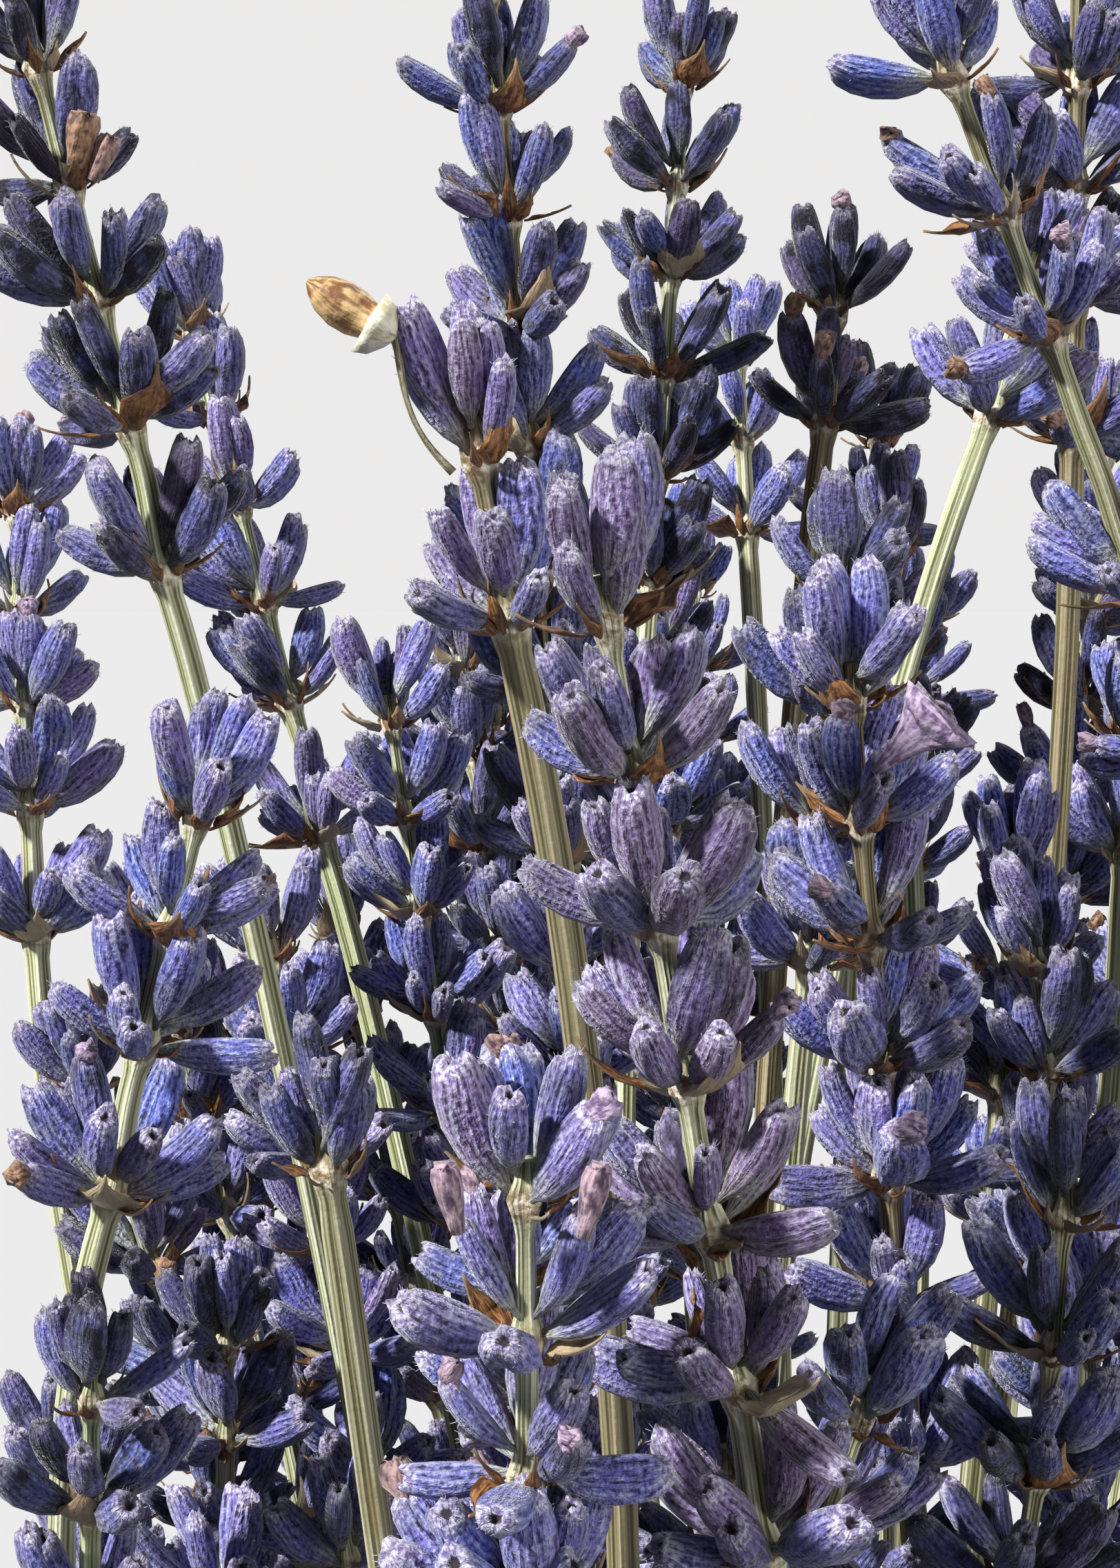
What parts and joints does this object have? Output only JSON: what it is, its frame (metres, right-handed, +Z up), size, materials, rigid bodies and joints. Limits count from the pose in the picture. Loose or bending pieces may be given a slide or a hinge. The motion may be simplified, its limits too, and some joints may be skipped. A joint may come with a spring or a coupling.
{
  "type": "bunch of dried lavender",
  "caption": "Bunch of dried lavender sprigs, hand-tied in a spiral with twine round the stems, standing upright on its level-cut stem ends.",
  "frame": {"origin": "middle of the bunch's base, on the plane of the cut stem ends", "axes": "+Z up the bunch to the flower heads, -Y to its front"},
  "size_m": [0.1066, 0.1202, 0.3151],
  "materials": {
    "dried_lavender": "dry, ribbed and downy, blue-violet with a pale green base",
    "dried_stem": "dry and matte, square and ribbed, pale green to olive",
    "dried_bract": "papery, rust brown",
    "dried_petal": "thin, crumpled, pale mauve",
    "jute_twine": "twisted natural jute"
  },
  "bodies": {
    "root": {"sprig_01": "dried_lavender", "sprig_02": "dried_lavender", "sprig_03": "dried_lavender", "sprig_04": "dried_lavender", "sprig_05": "dried_lavender", "sprig_06": "dried_lavender", "sprig_07": "dried_lavender", "sprig_08": "dried_lavender", "sprig_09": "dried_lavender", "sprig_10": "dried_lavender", "sprig_11": "dried_lavender", "sprig_12": "dried_lavender", "sprig_13": "dried_lavender", "sprig_14": "dried_lavender", "sprig_15": "dried_lavender", "sprig_16": "dried_lavender", "sprig_17": "dried_lavender", "sprig_18": "dried_lavender", "sprig_19": "dried_lavender", "sprig_20": "dried_lavender", "sprig_21": "dried_lavender", "sprig_22": "dried_lavender", "sprig_23": "dried_lavender", "sprig_24": "dried_lavender", "sprig_25": "dried_lavender", "sprig_26": "dried_lavender", "sprig_27": "dried_lavender", "sprig_28": "dried_lavender", "sprig_29": "dried_lavender", "sprig_30": "dried_lavender", "sprig_31": "dried_lavender", "sprig_32": "dried_lavender", "sprig_33": "dried_lavender", "sprig_34": "dried_lavender", "sprig_35": "dried_lavender", "sprig_36": "dried_lavender", "sprig_37": "dried_lavender", "sprig_38": "dried_lavender", "sprig_39": "dried_lavender", "sprig_40": "dried_lavender", "sprig_41": "dried_lavender", "sprig_42": "dried_lavender", "sprig_43": "dried_lavender", "sprig_44": "dried_lavender", "sprig_45": "dried_lavender", "sprig_46": "dried_lavender", "sprig_47": "dried_lavender", "sprig_48": "dried_lavender", "sprig_49": "dried_lavender", "sprig_50": "dried_lavender", "sprig_51": "dried_lavender", "sprig_52": "dried_lavender", "sprig_53": "dried_lavender", "sprig_54": "dried_lavender", "sprig_55": "dried_lavender", "sprig_56": "dried_lavender", "twine_binding": "jute_twine", "twine_knot": "jute_twine"}
  },
  "joints": []
}
